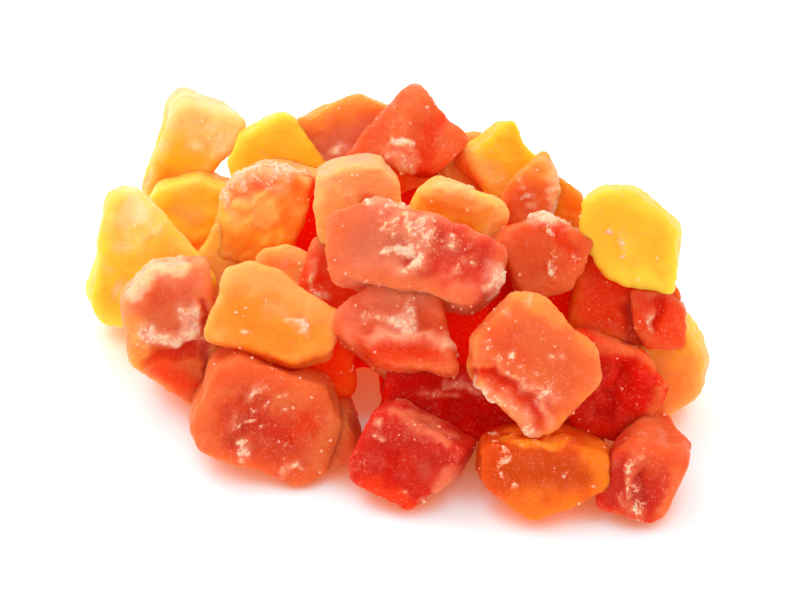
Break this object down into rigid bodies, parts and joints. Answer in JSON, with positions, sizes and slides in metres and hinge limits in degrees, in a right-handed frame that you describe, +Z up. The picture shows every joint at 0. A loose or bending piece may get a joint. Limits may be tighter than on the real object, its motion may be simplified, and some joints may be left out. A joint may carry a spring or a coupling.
{
  "type": "heap of candied papaya",
  "caption": "Low uneven heap of candied papaya chunks, cut blocks with rounded sugared edges, lying loose on a flat surface.",
  "frame": {"origin": "middle of the underside of the heap's box, on the surface it lies on", "axes": "+X to the right along the heap's longest side, +Y away from the front, +Z up"},
  "size_m": [0.1038, 0.0972, 0.04],
  "materials": {
    "papaya": "waxy, sugared"
  },
  "bodies": {
    "root": {"papaya_heap": "papaya"}
  },
  "joints": []
}
